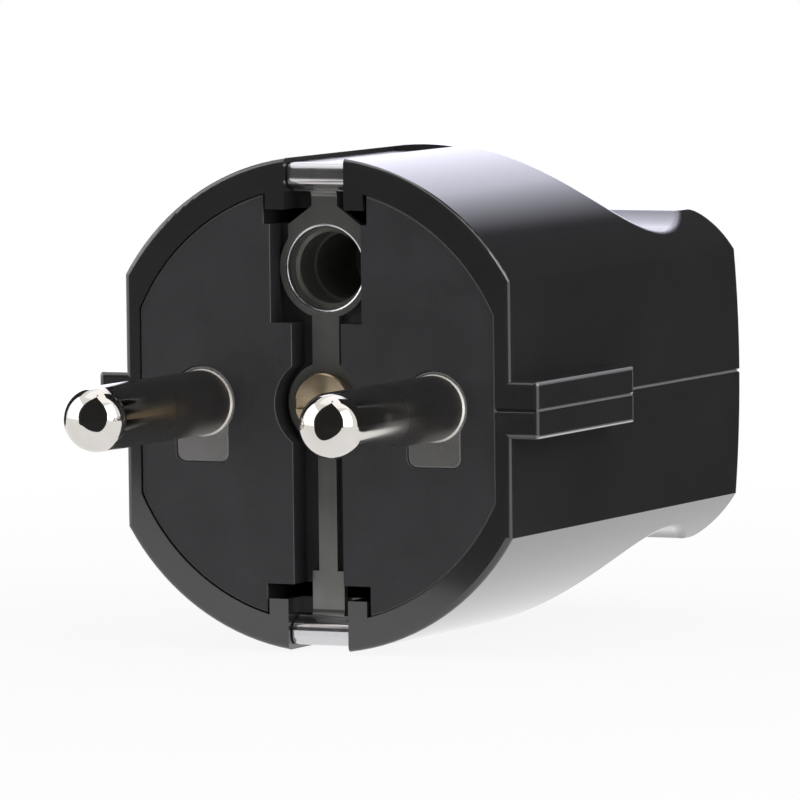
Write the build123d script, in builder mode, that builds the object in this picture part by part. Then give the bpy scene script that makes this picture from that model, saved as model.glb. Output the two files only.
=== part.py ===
"""Rewirable schuko plug: two housing halves around a contact carrier, two pins and an earth strap.

Frame: +X to the right seen from the pins, +Y from the face towards the cable entry, +Z up.
The origin is the centre of the face, in the plane of the housing's front rim. Millimetres.
"""

import os
from math import sqrt

from build123d import *

# Housing outside: a round body with two side flats, guide ribs and finger grooves
body_radius = 18.35
body_flat = 15.75
body_length = 41.9
rim_fillet = 0.4
rib_reach = 18.0
rib_height = 4.2
rib_length = 17.1
rib_fillet = 0.25
grip_radius = 11.0
grip_floor = 11.4
grip_from_rear = 10.7
grip_fillet = 0.8
lip_height = 12.6
rear_crown = 50.0
rear_corner = 3.4
joint_groove = 0.16

# Housing inside
chamber_radius = 15.2
chamber_flat = 13.9
chamber_depth = 20.0
cable_room_width = 23.0
cable_room_height = 17.2
cable_room_corner = 3.0
rear_wall = 5.4
post_width = 2.0
post_gap = 4.0

# Contact carrier
face_recess = 0.15
carrier_radius = 16.05
carrier_flat = 14.5
carrier_thickness = 5.0
carrier_edge = 0.12
flange_step = 0.5
flange_thickness = 2.0
pin_wall = 2.05
barrier_offset = 4.6
barrier_thickness = 1.2
barrier_height = 20.0
barrier_length = 7.0

# Side contact slots in the rim, and the ears beside them that key the carrier
slot_width = 4.9
groove_length = 19.0
ear_width = 1.55
ear_clearance = 1.1

# Pins and terminal blocks
pin_spacing = 19.0
pin_diameter = 4.8
pin_reach = 19.0
pin_collar = 0.15
spigot_diameter = 4.0
pin_seat = 8.0
block_width = 7.2
block_top = 3.6
block_bottom = 4.8
block_end = 13.0
block_chamfer = 0.3
collar_wall = 0.3
tongue_width = 4.3
tongue_drop = 4.4
tongue_corner = 0.7
tongue_recess = 0.1
tongue_chamfer = 0.12
wire_hole = 3.2
terminal_screw_depth = 10.2

# Earth strap
strap_thickness = 0.6
strap_depth = 1.8
strap_bend = 0.7
contact_reach = 17.85
contact_front = 0.45
contact_width = 4.7
contact_end = 18.8
jog_drop = 1.55
jog_height = 0.6
jog_clearance = 2.4
neck_width = 2.1
neck_bottom = 14.6
shoulder_width = 6.0
shoulder_height = 13.2
upper_leg_width = 2.2
lower_leg_width = 1.5
flare_width = 2.6
flare_height = 12.4
eye_diameter = 6.2
channel_width = 4.1
channel_wide = 7.5
channel_shoulder = 6.0

# Earth socket
earth_height = 10.0
strap_hole = 6.1
strap_hole_edge = 0.22
earth_ring = 7.4
earth_hole = 5.3
earth_hole_edge = 0.22
socket_diameter = 6.6
socket_recess = 0.4
socket_bore = 4.9
socket_mouth = 3.0
socket_bore_end = 12.0
socket_end = 17.0
earth_wire_hole = 2.8
earth_screw_depth = 14.5

# Screws
screw_shank = 3.0
screw_slot = 0.8
terminal_shank = 3.4
terminal_head = 5.4
terminal_head_height = 1.8
terminal_screw_reach = 2.6
earth_head = 4.4
earth_head_height = 1.3
earth_screw_reach = 2.3
centre_head = 4.6
centre_head_height = 0.8
centre_counterbore = 7.0
centre_screw_end = 8.2
centre_nut_flats = 5.5
centre_nut_height = 2.4
clamp_head = 5.2
clamp_head_height = 1.5
housing_head = 5.6
housing_head_height = 1.7

# Cord clamp, columns for the housing screws, and cable gland
cable_diameter = 9.0
clamp_to_column = 6.2
clamp_length = 5.0
clamp_end = 2.0
clamp_corner = 2.0
clamp_seat = 4.6
clamp_thickness = 2.2
clamp_ridge_width = 7.0
clamp_ridge_length = 1.2
clamp_ridge_height = 0.6
clamp_screw_offset = 7.2
clamp_boss = 5.6
clamp_screw_reach = 10.8
cradle_width = 10.0
cradle_top = -1.5
column_offset = 9.3
column_diameter = 6.4
column_seat = 9.6
column_screw_reach = 15.6
gland_flange = 15.0
gland_flange_thickness = 1.6
gland_neck = 12.0
gland_recess = 0.4
gland_mouth = 0.6

# Clearances
slide_gap = 0.06
snug_gap = 0.05
press_gap = 0.02
key_gap = 0.25
overrun = 1.0

# Worked out from the values above
carrier_rear = face_recess + carrier_thickness
flange_front = carrier_rear - flange_thickness
pocket_front = face_recess + pin_wall
tongue_front = face_recess + tongue_recess
strap_rear = strap_depth + strap_thickness
socket_face = strap_rear + socket_recess
pin_radius = pin_diameter / 2
pin_x = pin_spacing / 2
jog_top = contact_reach - jog_drop
jog_bottom = jog_top - jog_height
notch_floor = jog_bottom - jog_clearance
ear_tip = notch_floor + ear_clearance
room_half = cable_room_height / 2
rear_wall_depth = body_length - rear_wall
gland_flange_front = rear_wall_depth - gland_flange_thickness
gland_end = body_length - gland_recess
grip_depth = body_length - grip_from_rear
clamp_depth = grip_depth - clamp_to_column
clamp_width = 2 * (clamp_screw_offset + clamp_end)
body_top = body_radius + overrun
groove_middle = grip_floor + grip_radius
groove_start = grip_depth - sqrt(grip_radius**2 - (groove_middle - body_top) ** 2)
groove_end = grip_depth + sqrt(grip_radius**2 - (groove_middle - lip_height) ** 2)
crown_middle = body_length - rear_crown
corner_bottom = lip_height - rear_corner
corner_middle = crown_middle + sqrt((rear_crown - rear_corner) ** 2 - corner_bottom**2)
corner_share = rear_crown / (rear_crown - rear_corner)
corner_end = (crown_middle + (corner_middle - crown_middle) * corner_share, corner_bottom * corner_share)
column_places = ((-column_offset, grip_depth), (column_offset, grip_depth))
clamp_places = ((-clamp_screw_offset, clamp_depth), (clamp_screw_offset, clamp_depth))


def at_depth(depth):
    """Plane across the plug's axis, this far behind the rim; a negative extrude goes rearwards."""
    return Plane.XZ.offset(-depth)


def flatted_disc(radius, flat):
    """Circle with both sides cut off, drawn in the open sketch."""
    Circle(radius)
    Rectangle(2 * flat, 2 * radius, mode=Mode.INTERSECT)


def both_heights(low, high, width, x=0.0):
    """Two rectangles drawn in the open sketch, between two heights and mirrored below the axis."""
    middle = (low + high) / 2
    with Locations((x, middle), (x, -middle)):
        Rectangle(width, high - low)


def keyhole(x, gap):
    """Outline of a terminal block's tongue around and under its pin, drawn in the open sketch."""
    with Locations((x, 0)):
        Circle(pin_radius + collar_wall + gap)
    with Locations((x, -tongue_drop / 2)):
        RectangleRounded(tongue_width + 2 * gap, tongue_drop + 2 * gap, tongue_corner + gap)


def on_rib_outside(edge):
    """True for the edges around a rib's outer face, apart from the one in the rim."""
    return abs(abs(edge.center().X) - rib_reach) < snug_gap and edge.center().Y > snug_gap


def slotted_screw(plane, shank, reach, head, head_height):
    """Cheese-head screw: the head stands on the plane and the shank goes below it."""
    with BuildPart(plane) as screw:
        Cylinder(head / 2, head_height, align=(Align.CENTER, Align.CENTER, Align.MIN))
        top = screw.faces().sort_by(Axis(plane.origin, plane.z_dir))[-1]
        chamfer(top.edges(), head_height / 8)
        Cylinder(shank / 2, reach, align=(Align.CENTER, Align.CENTER, Align.MAX))
        with BuildSketch(plane.offset(head_height)):
            Rectangle(head + overrun, screw_slot)
        extrude(amount=-head_height / 2, mode=Mode.SUBTRACT)
    return screw.part


def housing():
    """Whole housing, before it is parted into its upper and lower half."""
    with BuildPart() as shell:
        # Outside: the front outline crossed with the side outline
        with BuildSketch(at_depth(0)):
            flatted_disc(body_radius, body_flat)
        extrude(amount=-body_length)
        with BuildSketch(at_depth(0)):
            Rectangle(2 * rib_reach, rib_height)
        extrude(amount=-rib_length)
        with BuildSketch(Plane.YZ):
            with BuildLine():
                Polyline((0, 0), (0, body_top), (groove_start, body_top))
                ThreePointArc((groove_start, body_top), (grip_depth, grip_floor), (groove_end, lip_height))
                Line((groove_end, lip_height), (corner_middle, lip_height))
                TangentArc((corner_middle, lip_height), corner_end, tangent=(1, 0))
                TangentArc((body_length, 0), corner_end, tangent=(0, 1))
                mirror(about=Plane.XZ)
            make_face()
        extrude(amount=rib_reach + overrun, both=True, mode=Mode.INTERSECT)
        fillet(shell.edges().filter_by_position(Axis.Y, groove_start, groove_end), grip_fillet)
        fillet(shell.edges().filter_by(on_rib_outside), rib_fillet)
        fillet(shell.faces().sort_by(Axis.Y)[0].edges(), rim_fillet)

        # Seat of the carrier, its flange groove, the contact chamber, the cable room and the entry
        with BuildSketch(at_depth(0)):
            flatted_disc(carrier_radius + slide_gap, carrier_flat + slide_gap)
        extrude(amount=-carrier_rear, mode=Mode.SUBTRACT)
        with BuildSketch(at_depth(flange_front - snug_gap)):
            flatted_disc(carrier_radius + flange_step + slide_gap, carrier_flat + flange_step + slide_gap)
        extrude(amount=-(flange_thickness + snug_gap), mode=Mode.SUBTRACT)
        with BuildSketch(at_depth(0)):
            flatted_disc(chamber_radius, chamber_flat)
        extrude(amount=-chamber_depth, mode=Mode.SUBTRACT)
        with BuildSketch(at_depth(0)):
            RectangleRounded(cable_room_width, cable_room_height, cable_room_corner)
        extrude(amount=-rear_wall_depth, mode=Mode.SUBTRACT)
        with BuildSketch(at_depth(0)):
            Circle(gland_neck / 2 + snug_gap)
        extrude(amount=-(body_length + overrun), mode=Mode.SUBTRACT)

        # Ears beside the contact slots, posts behind the terminal blocks, columns for the screws
        with BuildSketch(at_depth(0)):
            both_heights(ear_tip, body_radius - overrun, slot_width + 2 * ear_width)
        extrude(amount=-carrier_rear)
        with BuildSketch(at_depth(block_end + snug_gap)):
            for x in (-pin_x, pin_x):
                both_heights(post_gap / 2, chamber_radius - post_width, post_width, x)
        extrude(amount=-(chamber_depth - block_end))
        with BuildSketch(Plane.XY.offset(-room_half - overrun)):
            with Locations(*column_places):
                Circle(column_diameter / 2)
        extrude(amount=2 * (room_half + overrun))

        # Contact slots through the rim, and the grooves that the contacts lie in
        with BuildSketch(at_depth(0)):
            both_heights(notch_floor, body_top, slot_width)
        extrude(amount=-(strap_rear + slide_gap), mode=Mode.SUBTRACT)
        with BuildSketch(at_depth(0)):
            both_heights(contact_reach - strap_thickness - snug_gap, body_top, slot_width)
        extrude(amount=-groove_length, mode=Mode.SUBTRACT)

        # Fine groove along the joint of the two halves
        with BuildSketch(at_depth(0)):
            with Locations((-rib_reach, 0), (rib_reach, 0)):
                RegularPolygon(joint_groove, 4)
        extrude(amount=-rib_length, mode=Mode.SUBTRACT)
        with BuildSketch(at_depth(rib_length)):
            with Locations((-body_flat, 0), (body_flat, 0)):
                RegularPolygon(joint_groove, 4)
        extrude(amount=-body_length, mode=Mode.SUBTRACT)
        with BuildSketch(Plane.YZ):
            with Locations((0, 0), (body_length, 0)):
                RegularPolygon(joint_groove, 4)
        extrude(amount=rib_reach + overrun, both=True, mode=Mode.SUBTRACT)
    return shell.part


def turned_pin(x):
    """Round pin with a ball end, and a spigot behind its shoulder for the terminal block."""
    with BuildPart() as pin:
        with BuildSketch(Plane((x, 0, 0))):
            with BuildLine():
                ball_start = (pin_radius, pin_radius - pin_reach)
                spigot = spigot_diameter / 2
                TangentArc((0, -pin_reach), ball_start, tangent=(1, 0))
                collar_start = (pin_radius, tongue_front - pin_collar)
                collar_end = (pin_radius + collar_wall / 2, tongue_front)
                Polyline(ball_start, collar_start, collar_end, (spigot, tongue_front), (spigot, pin_seat))
                Polyline((spigot, pin_seat), (0, pin_seat), (0, -pin_reach))
            make_face()
        revolve(axis=Axis((x, 0, 0), (0, 1, 0)))
    return pin.part


def terminal_block(x):
    """Metal block behind the face that holds a pin in front and a conductor behind."""
    with BuildPart() as block:
        with BuildSketch(at_depth(pocket_front)):
            with Locations((x, (block_top - block_bottom) / 2)):
                Rectangle(block_width, block_top + block_bottom)
        extrude(amount=-(block_end - pocket_front))
        chamfer(block.faces().sort_by(Axis.Y)[-1].edges(), block_chamfer)
        with BuildSketch(at_depth(tongue_front)):
            keyhole(x, 0)
        extrude(amount=-(pocket_front - tongue_front))
        chamfer(block.faces().sort_by(Axis.Y)[0].edges(), tongue_chamfer)
        with BuildSketch(at_depth(tongue_front)):
            with Locations((x, 0)):
                Circle(spigot_diameter / 2 + press_gap)
        extrude(amount=-(pin_seat - tongue_front), mode=Mode.SUBTRACT)
        with BuildSketch(at_depth(pin_seat)):
            with Locations((x, 0)):
                Circle(wire_hole / 2)
        extrude(amount=-block_end, mode=Mode.SUBTRACT)
        with BuildSketch(Plane.XY):
            with Locations((x, terminal_screw_depth)):
                Circle(terminal_shank / 2 + press_gap)
        extrude(amount=block_top + overrun, mode=Mode.SUBTRACT)
    return block.part


pieces = {}
whole_housing = housing()

with BuildPart() as upper_housing:
    add(whole_housing)
    split(bisect_by=Plane.XY, keep=Keep.TOP)
    with BuildSketch(Plane.XY):
        with Locations(*column_places):
            Circle(screw_shank / 2 + snug_gap)
    extrude(amount=column_screw_reach - column_seat + overrun, mode=Mode.SUBTRACT)
pieces["upper_housing"] = upper_housing.part

with BuildPart() as lower_housing:
    add(whole_housing)
    split(bisect_by=Plane.XY, keep=Keep.BOTTOM)
    # Bosses and cradle of the cord clamp
    with BuildSketch(Plane.XY.offset(-room_half - overrun)):
        with Locations(*clamp_places):
            Circle(clamp_boss / 2)
    extrude(amount=room_half + overrun + clamp_seat)
    with BuildSketch(at_depth(clamp_depth - clamp_length / 2)):
        with Locations((0, cradle_top)):
            Rectangle(cradle_width, cradle_top + room_half + overrun, align=(Align.CENTER, Align.MAX))
        Circle(cable_diameter / 2, mode=Mode.SUBTRACT)
    extrude(amount=-clamp_length)
    with BuildSketch(Plane.XY.offset(clamp_seat)):
        with Locations(*clamp_places):
            Circle(screw_shank / 2 + snug_gap)
    extrude(amount=-(clamp_screw_reach - clamp_thickness + overrun), mode=Mode.SUBTRACT)
    # Holes for the housing screws, with recesses for their heads
    with BuildSketch(Plane.XY):
        with Locations(*column_places):
            Circle(screw_shank / 2 + snug_gap)
    extrude(amount=-body_radius, mode=Mode.SUBTRACT)
    with BuildSketch(Plane.XY.offset(-column_seat)):
        with Locations(*column_places):
            Circle(housing_head / 2 + slide_gap)
    extrude(amount=-body_radius, mode=Mode.SUBTRACT)
pieces["lower_housing"] = lower_housing.part

with BuildPart() as contact_carrier:
    # Face disc, its flange, and the barriers between the terminals
    with BuildSketch(at_depth(face_recess)):
        flatted_disc(carrier_radius, carrier_flat)
    extrude(amount=-carrier_thickness)
    chamfer(contact_carrier.faces().sort_by(Axis.Y)[0].edges(), carrier_edge)
    with BuildSketch(at_depth(flange_front)):
        flatted_disc(carrier_radius + flange_step, carrier_flat + flange_step)
    extrude(amount=-flange_thickness)
    with BuildSketch(at_depth(carrier_rear)):
        with Locations((-barrier_offset, 0), (barrier_offset, 0)):
            Rectangle(barrier_thickness, barrier_height)
    extrude(amount=-barrier_length)
    # Notches for the ears, and the channel of the earth strap
    with BuildSketch(at_depth(0)):
        both_heights(notch_floor, body_top, slot_width + 2 * (ear_width + key_gap))
    extrude(amount=-carrier_rear, mode=Mode.SUBTRACT)
    with BuildSketch(at_depth(0)):
        Rectangle(channel_width, 2 * body_radius)
        with Locations((0, channel_shoulder)):
            Rectangle(channel_wide, body_radius, align=(Align.CENTER, Align.MIN))
        Circle(centre_counterbore / 2)
    extrude(amount=-strap_rear, mode=Mode.SUBTRACT)
    # Holes for the earth socket, the centre screw, the pins and their blocks
    with BuildSketch(at_depth(0)):
        with Locations((0, earth_height)):
            Circle(socket_diameter / 2 + snug_gap)
        Circle(screw_shank / 2 + snug_gap)
    extrude(amount=-carrier_rear, mode=Mode.SUBTRACT)
    with BuildSketch(at_depth(0)):
        keyhole(-pin_x, snug_gap)
        keyhole(pin_x, snug_gap)
    extrude(amount=-pocket_front, mode=Mode.SUBTRACT)
    with BuildSketch(at_depth(pocket_front)):
        with Locations((-pin_x, (block_top - block_bottom) / 2), (pin_x, (block_top - block_bottom) / 2)):
            Rectangle(block_width + 2 * snug_gap, block_top + block_bottom + 2 * snug_gap)
    extrude(amount=-carrier_thickness, mode=Mode.SUBTRACT)
pieces["contact_carrier"] = contact_carrier.part

for side, x in (("left", -pin_x), ("right", pin_x)):
    pieces[f"{side}_pin"] = turned_pin(x)
    pieces[f"{side}_terminal_block"] = terminal_block(x)
    pieces[f"{side}_terminal_screw"] = slotted_screw(
        Plane((x, terminal_screw_depth, block_top)),
        terminal_shank,
        terminal_screw_reach,
        terminal_head,
        terminal_head_height,
    )

with BuildPart() as earth_strap:
    # Side view of the bent strip, crossed with its stamped front outline
    with BuildSketch(Plane.YZ):
        with BuildLine():
            upper_bends = (
                (contact_end, contact_reach),
                (contact_front, contact_reach),
                (contact_front, jog_top),
                (strap_depth, jog_bottom),
            )
            lower_bends = tuple((depth, -height) for depth, height in reversed(upper_bends))
            FilletPolyline(*upper_bends, *lower_bends, radius=strap_bend)
            offset(amount=strap_thickness, side=Side.LEFT)
        make_face()
    extrude(amount=channel_wide / 2, both=True)
    with BuildSketch(at_depth(0)):
        both_heights(jog_bottom, contact_reach + overrun, contact_width)
        with Locations((0, earth_height)):
            Circle(earth_ring / 2)
            Rectangle(neck_width, body_radius - earth_height, align=(Align.CENTER, Align.MIN))
        with Locations((0, shoulder_height)):
            Rectangle(shoulder_width, shoulder_height - earth_height, align=(Align.CENTER, Align.MAX))
        with BuildLine():
            shoulder = (shoulder_width / 2, shoulder_height)
            Polyline((0, shoulder_height), shoulder, (neck_width / 2, neck_bottom), (0, neck_bottom))
            mirror(about=Plane.YZ)
        make_face()
        Rectangle(upper_leg_width, earth_height, align=(Align.CENTER, Align.MIN))
        Rectangle(lower_leg_width, body_radius, align=(Align.CENTER, Align.MAX))
        with Locations((0, -flare_height)):
            Rectangle(flare_width, body_radius - flare_height, align=(Align.CENTER, Align.MAX))
        Circle(eye_diameter / 2)
        Circle(screw_shank / 2 + snug_gap, mode=Mode.SUBTRACT)
        with Locations((0, earth_height)):
            Circle(strap_hole / 2, mode=Mode.SUBTRACT)
    extrude(amount=-body_length, mode=Mode.INTERSECT)
    hole_edges = earth_strap.edges().filter_by(GeomType.CIRCLE)
    fillet(hole_edges.sort_by_distance((0, strap_rear - strap_thickness, earth_height))[0], strap_hole_edge)
pieces["earth_strap"] = earth_strap.part

with BuildPart() as earth_socket:
    # Turned sleeve behind the strap: recessed and chamfered mouth, contact bore and conductor hole
    with BuildSketch(at_depth(strap_rear)):
        with Locations((0, earth_height)):
            Circle(socket_diameter / 2)
    extrude(amount=-(socket_end - strap_rear))
    for diameter, end in (
        (strap_hole, socket_face),
        (earth_hole, strap_rear + socket_mouth),
        (socket_bore, socket_bore_end),
        (earth_wire_hole, socket_end),
    ):
        with BuildSketch(at_depth(strap_rear)):
            with Locations((0, earth_height)):
                Circle(diameter / 2)
        extrude(amount=-(end - strap_rear), mode=Mode.SUBTRACT)
    mouth = earth_socket.edges().filter_by_position(Axis.Y, socket_face, socket_face)
    chamfer(mouth.sort_by(SortBy.LENGTH)[0], earth_hole_edge)
    with BuildSketch(Plane.XY.offset(earth_height)):
        with Locations((0, earth_screw_depth)):
            Circle(screw_shank / 2 + press_gap)
    extrude(amount=socket_diameter, mode=Mode.SUBTRACT)
pieces["earth_socket"] = earth_socket.part

pieces["earth_terminal_screw"] = slotted_screw(
    Plane((0, earth_screw_depth, earth_height + socket_diameter / 2)),
    screw_shank,
    earth_screw_reach,
    earth_head,
    earth_head_height,
)

pieces["centre_screw"] = slotted_screw(
    at_depth(strap_depth),
    screw_shank,
    centre_screw_end - strap_depth,
    centre_head,
    centre_head_height,
)

with BuildPart() as centre_nut:
    with BuildSketch(at_depth(carrier_rear)):
        RegularPolygon(centre_nut_flats / 2, 6, major_radius=False)
        Circle(screw_shank / 2 + press_gap, mode=Mode.SUBTRACT)
    extrude(amount=-centre_nut_height)
pieces["centre_nut"] = centre_nut.part

with BuildPart() as cord_clamp:
    with BuildSketch(Plane.XY.offset(clamp_seat)):
        with Locations((0, clamp_depth)):
            RectangleRounded(clamp_width, clamp_length, clamp_corner)
        with Locations(*clamp_places):
            Circle(screw_shank / 2 + snug_gap, mode=Mode.SUBTRACT)
    extrude(amount=clamp_thickness)
    with BuildSketch(Plane.XY.offset(clamp_seat)):
        with Locations((0, clamp_depth)):
            Rectangle(clamp_ridge_width, clamp_ridge_length)
    extrude(amount=-clamp_ridge_height)
pieces["cord_clamp"] = cord_clamp.part

for side, sign in (("left", -1), ("right", 1)):
    pieces[f"{side}_clamp_screw"] = slotted_screw(
        Plane((sign * clamp_screw_offset, clamp_depth, clamp_seat + clamp_thickness)),
        screw_shank,
        clamp_screw_reach,
        clamp_head,
        clamp_head_height,
    )
    pieces[f"{side}_housing_screw"] = slotted_screw(
        Plane((sign * column_offset, grip_depth, -column_seat), x_dir=(1, 0, 0), z_dir=(0, 0, -1)),
        screw_shank,
        column_screw_reach,
        housing_head,
        housing_head_height,
    )

with BuildPart() as cable_gland:
    with BuildSketch(at_depth(gland_flange_front)):
        Circle(gland_flange / 2)
    extrude(amount=-(rear_wall_depth - gland_flange_front))
    with BuildSketch(at_depth(gland_flange_front)):
        Circle(gland_neck / 2)
    extrude(amount=-(gland_end - gland_flange_front))
    with BuildSketch(at_depth(gland_flange_front)):
        Circle(cable_diameter / 2)
    extrude(amount=-(gland_end - gland_flange_front), mode=Mode.SUBTRACT)
    chamfer(cable_gland.faces().sort_by(Axis.Y)[-1].edges().sort_by(SortBy.RADIUS)[0], gland_mouth)
pieces["cable_gland"] = cable_gland.part

os.makedirs("parts", exist_ok=True)
for name, piece in pieces.items():
    piece.label = name
    export_step(piece, f"parts/{name}.step")
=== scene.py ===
"""Looks of a rewirable schuko plug: moulded black halves, a grey contact carrier and plated contacts."""

import math

import bpy
from mathutils import Matrix, Vector


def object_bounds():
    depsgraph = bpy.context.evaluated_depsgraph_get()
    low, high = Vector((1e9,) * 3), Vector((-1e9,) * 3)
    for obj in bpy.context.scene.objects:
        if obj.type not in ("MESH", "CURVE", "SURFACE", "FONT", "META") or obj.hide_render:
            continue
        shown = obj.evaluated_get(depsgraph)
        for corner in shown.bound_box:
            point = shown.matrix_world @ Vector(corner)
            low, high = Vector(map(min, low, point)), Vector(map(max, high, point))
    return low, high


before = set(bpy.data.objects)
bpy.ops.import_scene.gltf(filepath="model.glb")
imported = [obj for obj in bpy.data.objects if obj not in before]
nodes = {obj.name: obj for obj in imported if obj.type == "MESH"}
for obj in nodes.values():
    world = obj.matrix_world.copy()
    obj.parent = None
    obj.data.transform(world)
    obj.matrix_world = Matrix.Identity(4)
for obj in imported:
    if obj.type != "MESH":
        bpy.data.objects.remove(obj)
cad_low, cad_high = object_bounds()

MM = 0.001

# Camera, fitted to the pins and the rim: where it stands and how it is turned
CAMERA_DISTANCE = 664.4 * MM
CAMERA_YAW = math.radians(25.72)
CAMERA_PITCH = math.radians(4.34)
CAMERA_ROLL = math.radians(-0.635)
CAMERA_SIDE = 6.20 * MM
CAMERA_RISE = 0.40 * MM
CAMERA_LENS = 406.2
CAMERA_SENSOR = 36.0
CAMERA_CLIP = 0.01

# Studio: floor and surroundings, which read white; the floor's shadow fades out between near and far
FLOOR_SIZE = 6.0
FLOOR_COLOUR = 0.82
FLOOR_GLOW = 0.9
FLOOR_NEAR = 40 * MM
FLOOR_FAR = 160 * MM
WORLD_FILL = 0.5
BACKGROUND_WHITE = 1.0

# Sheets that only reflections see: black flags, and a glowing card that paints the reflection of a soft box,
# with two fades that are multiplied.
# A fade holds the bearings in degrees where it starts and ends, and its glow at each of them.
SHEET_LIFT = 0.2 * MM
FLAG_COLOUR = 0.03
FLAG_RINGS = 12
FLAG_STEPS = 48
CARD_TINT = (0.86, 0.86, 1.0)
CARD_FADES = ((173, 187, 0.0, 1.0), (184, 206, 1.3, 1.75))

# Joint between the two half shells and outline of the guide ribs, which carry a painted pale highlight
JOINT_HALF_WIDTH = 0.11 * MM
EDGE_WIDTH = 0.16 * MM
RIB_FOOT = 15.85 * MM
RIB_FADE = 0.1 * MM
RIB_HALF_HEIGHT = 2.1 * MM
RIB_END = 17.1 * MM

# Pins: the ball end is polished up to the first depth, and the shaft is dull from the second on
PIN_POLISHED = -17.0 * MM
PIN_DULL = -5.6 * MM

# Strap: its side contacts are rubbed bright, and the edge of its earth hole carries a painted highlight
CONTACT_START = 15.6 * MM
CONTACT_FADE = 0.3 * MM
EARTH_HEIGHT = 10.0 * MM
HOLE_EDGE = 3.27 * MM
HOLE_FADE = 0.05 * MM

# Share of a normal along Y from which a face is no chamfer, and along X from which it is a side
FRONT_FACING = (0.8, 0.95)
SIDE_FACING = (0.35, 0.6)

# Depths at which the painted highlights on the chamfers of the face and of the terminals' tongues end
CARRIER_EDGE = 0.28 * MM
TONGUE_EDGE = 0.38 * MM
CHAMFER_FADE = 0.03 * MM


def add_node(tree, kind, **values):
    """New node with these properties."""
    node = tree.nodes.new(kind)
    for key, value in values.items():
        setattr(node, key, value)
    return node


def map_range(tree, value, low, high, start, end):
    """Output that takes a value from start..end to low..high and stays within them."""
    node = tree.nodes.new("ShaderNodeMapRange")
    limits = {"From Min": start, "From Max": end, "To Min": low, "To Max": high}
    for socket, limit in limits.items():
        node.inputs[socket].default_value = limit
    tree.links.new(value, node.inputs["Value"])
    return node.outputs["Result"]


def combine(tree, operation, first, second):
    """Output of one operation on two outputs, such as their product or the larger one."""
    node = add_node(tree, "ShaderNodeMath", operation=operation)
    tree.links.new(first, node.inputs[0])
    tree.links.new(second, node.inputs[1])
    return node.outputs["Value"]


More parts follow.
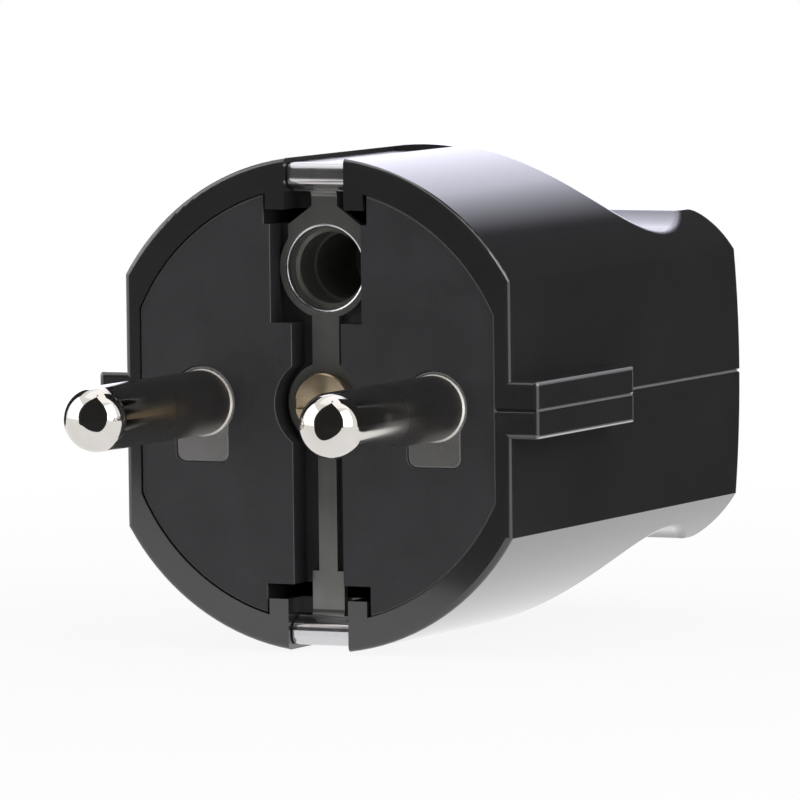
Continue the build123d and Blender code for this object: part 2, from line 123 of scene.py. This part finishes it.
class Finish:
    """One Principled material with a few helpers for its procedural detail.

    The colour, roughness and metallic given at the start are plain values, and detail can replace them.
    """

    def __init__(self, name, colour, roughness, metallic=0.0):
        self.material = bpy.data.materials.new(name)
        self.material.use_nodes = True
        self.tree = self.material.node_tree
        self.shader = self.tree.nodes["Principled BSDF"]
        self.set("Base Color", (*colour, 1.0))
        self.set("Roughness", roughness)
        self.set("Metallic", metallic)
        self.place = self.add("ShaderNodeTexCoord")

    def set(self, socket, value):
        self.shader.inputs[socket].default_value = value

    def feed(self, socket, output):
        """Let an output set one of the shader's inputs."""
        self.link(output, self.shader.inputs[socket])

    def link(self, output, target):
        self.tree.links.new(output, target)

    def add(self, kind, **values):
        return add_node(self.tree, kind, **values)

    def noise(self, grain, detail=2.0, stretch=(1.0, 1.0, 1.0)):
        """Noise whose spots are about one grain across, in metres; stretch draws them out along an axis."""
        scaled = self.add("ShaderNodeMapping")
        scaled.inputs["Scale"].default_value = [1.0 / (grain * s) for s in stretch]
        self.link(self.place.outputs["Object"], scaled.inputs["Vector"])
        node = self.add("ShaderNodeTexNoise")
        node.inputs["Scale"].default_value = 1.0
        node.inputs["Detail"].default_value = detail
        self.link(scaled.outputs["Vector"], node.inputs["Vector"])
        return node.outputs["Fac"]

    def spread(self, value, low, high, start=0.3, end=0.7):
        """Map a value from start..end to low..high; the usual range is that of noise."""
        return map_range(self.tree, value, low, high, start, end)

    def along(self, coordinate, axis):
        """One component of a texture coordinate, such as the place or the normal in the object's frame."""
        parts = self.add("ShaderNodeSeparateXYZ")
        self.link(self.place.outputs[coordinate], parts.inputs["Vector"])
        return parts.outputs[axis]

    def size_along(self, coordinate, axis):
        """The same without its sign."""
        node = self.add("ShaderNodeMath", operation="ABSOLUTE")
        self.link(self.along(coordinate, axis), node.inputs[0])
        return node.outputs["Value"]

    def from_axis(self, height):
        """Distance from an axis that runs along Y at this height."""
        value = self.place.outputs["Object"]
        for operation, operand in (("SUBTRACT", (0, 0, height)), ("MULTIPLY", (1, 0, 1))):
            step = self.add("ShaderNodeVectorMath", operation=operation)
            step.inputs[1].default_value = operand
            self.link(value, step.inputs[0])
            value = step.outputs["Vector"]
        length = self.add("ShaderNodeVectorMath", operation="LENGTH")
        self.link(value, length.inputs[0])
        return length.outputs["Value"]

    def front_edge(self, depth):
        """One on the chamfers of a front face, which end at this depth, otherwise zero."""
        slanted = self.spread(self.size_along("Normal", "Y"), 1.0, 0.0, *FRONT_FACING)
        in_front = self.spread(self.along("Object", "Y"), 1.0, 0.0, depth, depth + CHAMFER_FADE)
        return self.product(slanted, in_front)

    def product(self, first, second):
        return combine(self.tree, "MULTIPLY", first, second)

    def larger(self, first, second):
        return combine(self.tree, "MAXIMUM", first, second)

    def mix(self, factor, first, second):
        """Colour between two colours, each a triple or an output."""
        node = self.add("ShaderNodeMix", data_type="RGBA")
        self.link(factor, node.inputs["Factor"])
        for socket, colour in (("A_Color", first), ("B_Color", second)):
            target = next(i for i in node.inputs if i.identifier == socket)
            if isinstance(colour, tuple):
                target.default_value = (*colour, 1.0)
            else:
                self.link(colour, target)
        return next(o for o in node.outputs if o.identifier == "Result_Color")

    def tones(self, grain, first, second, detail=4.0):
        """Colour that drifts between two tones in patches of about one grain."""
        return self.mix(self.spread(self.noise(grain, detail), 0.0, 1.0), first, second)

    def colour(self, output):
        self.feed("Base Color", output)

    def roughness(self, grain, low, high):
        """Roughness that drifts between two values in patches of about one grain."""
        self.feed("Roughness", self.spread(self.noise(grain, 3.0), low, high))

    def bump(self, height, depth):
        """Relief of this depth in metres."""
        node = self.add("ShaderNodeBump")
        node.inputs["Distance"].default_value = depth
        self.link(height, node.inputs["Height"])
        self.feed("Normal", node.outputs["Normal"])

    def turned(self, amount):
        """Rings of a lathe about Y, which draw reflections out across them."""
        self.set("Anisotropic", amount)
        rings = self.add("ShaderNodeTangent", direction_type="RADIAL", axis="Y")
        self.feed("Tangent", rings.outputs["Tangent"])


def housing_finish():
    """Black thermoset moulding with a polished skin and a painted pale highlight along the joint and around
    the ribs.
    """
    finish = Finish("housing_black", (0.024, 0.024, 0.025), 0.18)
    black = finish.tones(9 * MM, (0.022, 0.022, 0.023), (0.027, 0.027, 0.028), 2.0)
    height = finish.size_along("Object", "Z")
    depth = finish.along("Object", "Y")
    reach = finish.size_along("Object", "X")
    near_joint = finish.spread(height, 1.0, 0.0, 0.5 * JOINT_HALF_WIDTH, JOINT_HALF_WIDTH)
    on_side = finish.spread(finish.size_along("Normal", "X"), 0.0, 1.0, *SIDE_FACING)
    on_rib = finish.spread(reach, 0.0, 1.0, RIB_FOOT, RIB_FOOT + RIB_FADE)
    rib_side = finish.spread(height, 0.0, 1.0, RIB_HALF_HEIGHT - 2 * EDGE_WIDTH, RIB_HALF_HEIGHT - EDGE_WIDTH)
    rib_back = finish.spread(depth, 0.0, 1.0, RIB_END - 2 * EDGE_WIDTH, RIB_END - EDGE_WIDTH)
    outline = finish.product(finish.larger(rib_side, rib_back), on_rib)
    # Painted highlight: the joint and the ribs' outline on the side faces are coloured pale grey
    painted_highlight = finish.product(finish.larger(near_joint, outline), on_side)
    finish.colour(finish.mix(painted_highlight, black, (0.26, 0.26, 0.27)))
    finish.set("Coat Weight", 1.0)
    finish.set("Coat Roughness", 0.09)
    return finish.material


def carrier_finish():
    """Dark grey matt moulding with a fine spark-eroded grain and a painted pale highlight on its front
    chamfers.
    """
    finish = Finish("carrier_grey", (0.025, 0.025, 0.028), 0.5)
    grey = finish.tones(4 * MM, (0.021, 0.021, 0.024), (0.030, 0.030, 0.034))
    # Painted highlight: the front chamfers are coloured pale grey
    finish.colour(finish.mix(finish.front_edge(CARRIER_EDGE), grey, (0.2, 0.2, 0.2)))
    finish.roughness(0.8 * MM, 0.45, 0.58)
    finish.bump(finish.noise(0.22 * MM), 0.012 * MM)
    return finish.material


def nickel_finish():
    """Bright nickel plate over turned brass, polished at the ball end and duller towards the face."""
    finish = Finish("nickel", (0.72, 0.70, 0.67), 0.16, 1.0)
    finish.colour(finish.tones(3 * MM, (0.74, 0.72, 0.70), (0.66, 0.62, 0.57)))
    depth = finish.along("Object", "Y")
    finish.feed("Roughness", finish.spread(depth, 0.05, 0.36, PIN_POLISHED, PIN_DULL))
    finish.turned(0.96)
    return finish.material


def terminal_finish():
    """Dull plated brass of the terminal blocks, with a painted bright highlight on the chamfers."""
    finish = Finish("terminal_metal", (0.26, 0.25, 0.25), 0.27, 0.6)
    dull = finish.tones(2.5 * MM, (0.28, 0.27, 0.27), (0.23, 0.23, 0.22), 2.0)
    # Painted highlight: the tongues' front chamfers are coloured near white
    finish.colour(finish.mix(finish.front_edge(TONGUE_EDGE), dull, (0.8, 0.8, 0.8)))
    finish.roughness(2.5 * MM, 0.25, 0.29)
    return finish.material


def strap_finish():
    """Stamped strip with a dull plate, rolled lengthwise, rubbed bright at the contacts and with a painted
    highlight at the edge of the hole.
    """
    finish = Finish("strap_metal", (0.2, 0.2, 0.19), 0.2, 0.5)
    dull = finish.tones(3 * MM, (0.21, 0.21, 0.20), (0.17, 0.17, 0.16), 2.0)
    height = finish.size_along("Object", "Z")
    contact = finish.spread(height, 0.0, 1.0, CONTACT_START, CONTACT_START + CONTACT_FADE)
    # Painted highlight: a ring of bright metal at the edge of the earth hole
    hole_highlight = finish.spread(finish.from_axis(EARTH_HEIGHT), 1.0, 0.0, HOLE_EDGE, HOLE_EDGE + HOLE_FADE)
    # The rubbed contacts and the painted highlight at the hole share the bright colour and metallic
    rubbed_and_highlight = finish.larger(contact, hole_highlight)
    finish.colour(finish.mix(rubbed_and_highlight, dull, (0.68, 0.67, 0.69)))
    finish.feed("Metallic", finish.spread(rubbed_and_highlight, 0.5, 0.95, 0.0, 1.0))
    rolled = finish.noise(0.35 * MM, 2.0, (1.0, 20.0, 20.0))
    finish.feed("Roughness", finish.spread(rolled, 0.16, 0.21))
    return finish.material


def socket_finish():
    """Plated sleeve, dull with use inside."""
    finish = Finish("socket_metal", (0.2, 0.2, 0.18), 0.4, 0.5)
    finish.colour(finish.tones(2 * MM, (0.22, 0.22, 0.20), (0.17, 0.17, 0.15)))
    finish.roughness(0.6 * MM, 0.32, 0.46)
    return finish.material


def brass_finish():
    """Bare turned brass: the rings of the tool draw a bright fan across the head."""
    finish = Finish("brass", (0.83, 0.67, 0.46), 0.34, 1.0)
    finish.colour(finish.tones(2.5 * MM, (0.90, 0.75, 0.53), (0.70, 0.55, 0.36)))
    finish.roughness(0.8 * MM, 0.3, 0.4)
    finish.turned(0.7)
    return finish.material


def steel_finish():
    """Zinc-plated screws."""
    finish = Finish("screw_steel", (0.55, 0.55, 0.56), 0.3, 1.0)
    finish.colour(finish.tones(1.0 * MM, (0.58, 0.58, 0.60), (0.42, 0.42, 0.42)))
    finish.roughness(0.5 * MM, 0.22, 0.4)
    finish.bump(finish.noise(0.1 * MM), 0.002 * MM)
    return finish.material


def rubber_finish():
    """Soft black rubber with a dry bloom."""
    finish = Finish("gland_rubber", (0.014, 0.014, 0.014), 0.65)
    finish.colour(finish.tones(2 * MM, (0.010, 0.010, 0.010), (0.020, 0.020, 0.020)))
    finish.roughness(0.6 * MM, 0.58, 0.75)
    finish.bump(finish.noise(0.2 * MM, 3.0), 0.01 * MM)
    return finish.material


def paint(node_names, material):
    """Give these nodes one material."""
    for name in node_names:
        slots = nodes[name].data.materials
        slots.clear()
        slots.append(material)


def around(bearing, distance, height):
    """Point around the plug: bearings turn from straight before its face towards +X, in degrees."""
    angle = math.radians(bearing)
    return Vector((math.sin(angle) * distance, -math.cos(angle) * distance, height))


def studio_material(name):
    """Material whose nodes are still to be added."""
    material = bpy.data.materials.new(name)
    material.use_nodes = True
    material.node_tree.nodes.clear()
    return material


def sheet(name, corners, faces, material):
    """Flat sheets of the studio, which aren't part of the object."""
    mesh = bpy.data.meshes.new(name)
    mesh.from_pydata([tuple(c) for c in corners], [], faces)
    mesh.materials.append(material)
    piece = bpy.data.objects.new(name, mesh)
    bpy.context.scene.collection.objects.link(piece)
    return piece


def gloss_sheet(name, corners, faces, material):
    """Sheet that only reflections see."""
    piece = sheet(name, corners, faces, material)
    piece.visible_camera = False
    piece.visible_diffuse = False
    piece.visible_transmission = False
    piece.visible_shadow = False


def seen_rays(tree):
    """One for camera, glossy and transmission rays, otherwise zero."""
    path = tree.nodes.new("ShaderNodeLightPath")
    total = path.outputs["Is Camera Ray"]
    for name in ("Is Glossy Ray", "Is Transmission Ray"):
        total = combine(tree, "MAXIMUM", total, path.outputs[name])
    return total


def make_floor():
    """Pale floor that reads white and keeps a soft shadow near the plug."""
    material = studio_material("floor_white")
    tree = material.node_tree
    diffuse = tree.nodes.new("ShaderNodeBsdfDiffuse")
    diffuse.inputs["Color"].default_value = (FLOOR_COLOUR, FLOOR_COLOUR, FLOOR_COLOUR, 1)
    glow = tree.nodes.new("ShaderNodeEmission")
    glow.inputs["Strength"].default_value = BACKGROUND_WHITE
    place = tree.nodes.new("ShaderNodeTexCoord")
    distance = add_node(tree, "ShaderNodeVectorMath", operation="LENGTH")
    tree.links.new(place.outputs["Object"], distance.inputs[0])
    share = map_range(tree, distance.outputs["Value"], FLOOR_GLOW, 1.0, FLOOR_NEAR, FLOOR_FAR)
    blend = tree.nodes.new("ShaderNodeMixShader")
    tree.links.new(combine(tree, "MULTIPLY", share, seen_rays(tree)), blend.inputs["Fac"])
    tree.links.new(diffuse.outputs["BSDF"], blend.inputs[1])
    tree.links.new(glow.outputs["Emission"], blend.inputs[2])
    output = tree.nodes.new("ShaderNodeOutputMaterial")
    tree.links.new(blend.outputs["Shader"], output.inputs["Surface"])
    half = FLOOR_SIZE / 2
    corners = [(x * half, y * half, cad_low.z) for x, y in ((-1, -1), (1, -1), (1, 1), (-1, 1))]
    sheet("floor", corners, [(0, 1, 2, 3)], material)


def make_world():
    """Plain white surroundings: full white where seen or mirrored, a softer fill on matt surfaces."""
    world = bpy.data.worlds.new("studio")
    bpy.context.scene.world = world
    world.use_nodes = True
    tree = world.node_tree
    background = tree.nodes["Background"]
    background.inputs["Color"].default_value = (1, 1, 1, 1)
    strength = map_range(tree, seen_rays(tree), WORLD_FILL, BACKGROUND_WHITE, 0.0, 1.0)
    tree.links.new(strength, background.inputs["Strength"])


def flag_black():
    """Black cloth of the studio's flags."""
    material = bpy.data.materials.new("flag_black")
    material.use_nodes = True
    shader = material.node_tree.nodes["Principled BSDF"]
    shader.inputs["Base Color"].default_value = (FLAG_COLOUR, FLAG_COLOUR, FLAG_COLOUR, 1)
    shader.inputs["Roughness"].default_value = 1.0
    shader.inputs["Specular IOR Level"].default_value = 0.0
    return material


def glow_card():
    """Glowing card behind the plug, a painted reflection of a soft box that only reflections see; it fades to
    black towards the right flag.
    """
    material = studio_material("glow_card")
    tree = material.node_tree
    place = tree.nodes.new("ShaderNodeTexCoord")
    mirrored = tree.nodes.new("ShaderNodeMapping")
    mirrored.inputs["Scale"].default_value = (-1, 1, 1)
    parts = tree.nodes.new("ShaderNodeSeparateXYZ")
    tree.links.new(place.outputs["Object"], mirrored.inputs["Vector"])
    tree.links.new(mirrored.outputs["Vector"], parts.inputs["Vector"])
    past_back = combine(tree, "ARCTAN2", parts.outputs["X"], parts.outputs["Y"])
    fades = []
    for start, end, low, high in CARD_FADES:
        first, last = (math.radians(bearing - 180) for bearing in (start, end))
        fades.append(map_range(tree, past_back, low, high, first, last))
    glow = tree.nodes.new("ShaderNodeEmission")
    glow.inputs["Color"].default_value = (*CARD_TINT, 1)
    tree.links.new(combine(tree, "MULTIPLY", *fades), glow.inputs["Strength"])
    output = tree.nodes.new("ShaderNodeOutputMaterial")
    tree.links.new(glow.outputs["Emission"], output.inputs["Surface"])
    return material


def upright_card(name, bearings, distance, top, material):
    """Upright sheet between two bearings."""
    foot = cad_low.z + SHEET_LIFT
    corners = [around(bearing, distance, height) for height in (foot, top) for bearing in bearings]
    gloss_sheet(name, corners, [(0, 1, 3, 2)], material)


def dark_flag(name, bearings, apron, distance, top, canopy, material):
    """Black sheet between two bearings: apron on the floor, upright and canopy above."""
    foot = cad_low.z + SHEET_LIFT
    rows = ((apron, foot), (distance, foot), (distance, top), (canopy, top))
    corners = [around(bearing, reach, height) for reach, height in rows for bearing in bearings]
    gloss_sheet(name, corners, [(i, i + 1, i + 3, i + 2) for i in (0, 2, 4)], material)


def round_flag(name, bearing, rise, half_width, half_height, distance, material):
    """Black round sheet before the pins, bent to lie on the floor where it would pass through it."""
    tip = Vector((0, cad_low.y, 0))
    foot = cad_low.z + SHEET_LIFT
    corners = []
    for ring in range(1, FLAG_RINGS + 1):
        reach = ring / FLAG_RINGS
        for step in range(FLAG_STEPS):
            turn = math.tau * step / FLAG_STEPS
            level = math.radians(rise + reach * half_height * math.sin(turn))
            way = around(bearing + reach * half_width * math.cos(turn), math.cos(level), math.sin(level))
            to_floor = foot / way.z if way.z < 0 else distance
            corners.append(tip + way * min(distance, to_floor))
    faces = [tuple(range(FLAG_STEPS))]
    for start in range(0, FLAG_STEPS * (FLAG_RINGS - 1), FLAG_STEPS):
        for step in range(FLAG_STEPS):
            first = start + step
            second = start + (step + 1) % FLAG_STEPS
            faces.append((first, second, second + FLAG_STEPS, first + FLAG_STEPS))
    gloss_sheet(name, corners, faces, material)


def soft_box(name, place, width, height, watts, colour=(1, 1, 1)):
    """Rectangular lamp that points at the plug."""
    data = bpy.data.lights.new(name, "AREA")
    data.shape = "RECTANGLE"
    data.size = width
    data.size_y = height
    data.energy = watts
    data.color = colour
    lamp = bpy.data.objects.new(name, data)
    lamp.location = place
    lamp.rotation_euler = (-place).to_track_quat("-Z", "Y").to_euler()
    lamp.visible_camera = False
    bpy.context.scene.collection.objects.link(lamp)


def make_camera():
    """Camera at the photograph's viewing angle."""
    yaw, pitch, roll = CAMERA_YAW, CAMERA_PITCH, CAMERA_ROLL
    back = Vector((math.sin(yaw) * math.cos(pitch), -math.cos(yaw) * math.cos(pitch), math.sin(pitch)))
    level = Vector((math.cos(yaw), math.sin(yaw), 0))
    rise = back.cross(level)
    right = level * math.cos(roll) + rise * math.sin(roll)
    up = rise * math.cos(roll) - level * math.sin(roll)
    place = back * CAMERA_DISTANCE + right * CAMERA_SIDE + up * CAMERA_RISE
    data = bpy.data.cameras.new("camera")
    data.lens = CAMERA_LENS
    data.sensor_width = CAMERA_SENSOR
    data.clip_start = CAMERA_CLIP
    camera = bpy.data.objects.new("camera", data)
    turned = Matrix((right, up, back)).transposed().to_4x4()
    camera.matrix_world = Matrix.Translation(place) @ turned
    bpy.context.scene.collection.objects.link(camera)
    bpy.context.scene.camera = camera


paint(("upper_housing", "lower_housing"), housing_finish())
paint(("contact_carrier", "cord_clamp"), carrier_finish())
paint(("left_pin", "right_pin"), nickel_finish())
paint(("left_terminal_block", "right_terminal_block"), terminal_finish())
paint(("earth_strap",), strap_finish())
paint(("earth_socket",), socket_finish())
paint(("centre_screw", "centre_nut"), brass_finish())
paint([name for name in nodes if name.endswith("_screw") and name != "centre_screw"], steel_finish())
paint(("cable_gland",), rubber_finish())

make_camera()
make_world()
make_floor()

# Bearings, and the rise and half sizes of the round flag, are in degrees; lengths are in metres
black = flag_black()
round_flag("flag_front", bearing=12, rise=26, half_width=55, half_height=74, distance=0.5, material=black)
dark_flag("flag_right", (118, 171), apron=0.075, distance=0.3, top=0.3, canopy=0.12, material=black)
# Glowing card: a painted reflection of a soft box behind the plug
upright_card("card_back", (171, 225), distance=0.3, top=0.3, material=glow_card())
dark_flag("flag_left", (225, 256), apron=0.12, distance=0.35, top=0.3, canopy=0.3, material=black)
soft_box("overhead", Vector((0.05, 0.1, 0.6)), width=0.7, height=0.7, watts=0.6, colour=(0.97, 0.96, 1.0))
soft_box("left_panel", around(-67, 0.7, 0.32), width=0.9, height=0.66, watts=1.7)
soft_box("right_panel", around(82, 0.7, 0.32), width=0.5, height=0.66, watts=2.6)

bpy.context.scene.view_settings.view_transform = "Standard"
